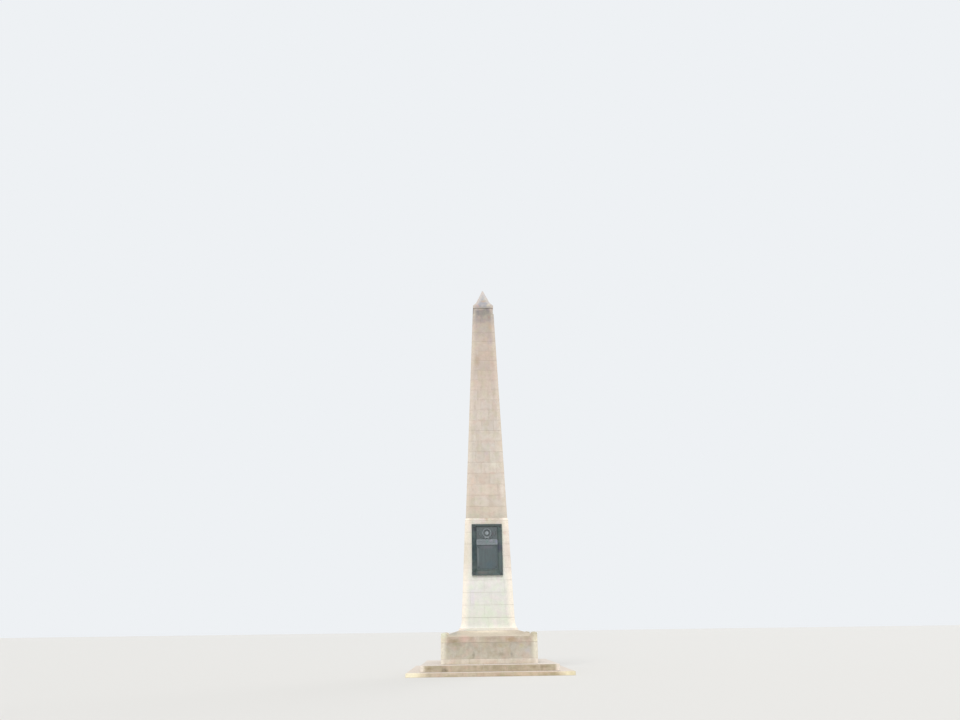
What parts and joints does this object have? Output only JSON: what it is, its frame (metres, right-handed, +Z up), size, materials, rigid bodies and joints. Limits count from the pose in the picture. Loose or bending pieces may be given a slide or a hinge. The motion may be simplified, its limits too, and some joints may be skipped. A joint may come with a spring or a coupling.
{
  "type": "granite obelisk monument",
  "caption": "Tall tapering granite obelisk with a pointed top, standing on a plinth, step and base slab, with a blank bronze tablet on its front face.",
  "frame": {"origin": "middle of the base slab's underside, at ground level", "axes": "+Z up along the shaft, -Y out of the face that carries the bronze tablet, +X to the right seen from in front"},
  "size_m": [6, 6, 16.45],
  "materials": {
    "slab_granite": "fine axed granite, worn and stained",
    "plinth_granite": "fine axed warm grey granite, stained",
    "lower_granite": "fine axed pale grey granite",
    "upper_granite": "fine axed pinkish grey granite, weathered",
    "cap_granite": "fine axed granite, dark with weather",
    "bronze": "cast bronze, dull green-grey patina"
  },
  "bodies": {
    "root": {"base_slab": "slab_granite", "step_course": "slab_granite", "plinth_base_course": "slab_granite", "plinth_die": "plinth_granite", "plinth_cap": "cap_granite", "cap_corner_blocks": "cap_granite", "shaft_foot": "lower_granite", "lower_shaft_course_01": "lower_granite", "lower_shaft_course_02": "lower_granite", "lower_shaft_course_03": "lower_granite", "lower_shaft_course_04": "lower_granite", "lower_shaft_course_05": "lower_granite", "lower_shaft_course_06": "lower_granite", "lower_shaft_course_07": "lower_granite", "lower_shaft_course_08": "lower_granite", "shaft_set_off": "lower_granite", "upper_shaft_course_01": "upper_granite", "upper_shaft_course_02": "upper_granite", "upper_shaft_course_03": "upper_granite", "upper_shaft_course_04": "upper_granite", "upper_shaft_course_05": "upper_granite", "upper_shaft_course_06": "upper_granite", "upper_shaft_course_07": "upper_granite", "upper_shaft_course_08": "upper_granite", "upper_shaft_course_09": "upper_granite", "upper_shaft_course_10": "upper_granite", "upper_shaft_course_11": "upper_granite", "upper_shaft_course_12": "upper_granite", "upper_shaft_course_13": "upper_granite", "upper_shaft_course_14": "upper_granite", "upper_shaft_course_15": "upper_granite", "upper_shaft_course_16": "upper_granite", "upper_shaft_course_17": "upper_granite", "upper_shaft_course_18": "upper_granite", "upper_shaft_course_19": "upper_granite", "upper_shaft_course_20": "upper_granite", "shaft_neck": "upper_granite", "pyramidion": "upper_granite", "tablet_backing_plate": "bronze", "tablet_frame": "bronze", "tablet_relief_panel": "bronze", "tablet_wreath": "bronze", "tablet_rail": "bronze", "tablet_inscription_panel": "bronze", "tablet_corner_bosses": "bronze"}
  },
  "joints": []
}
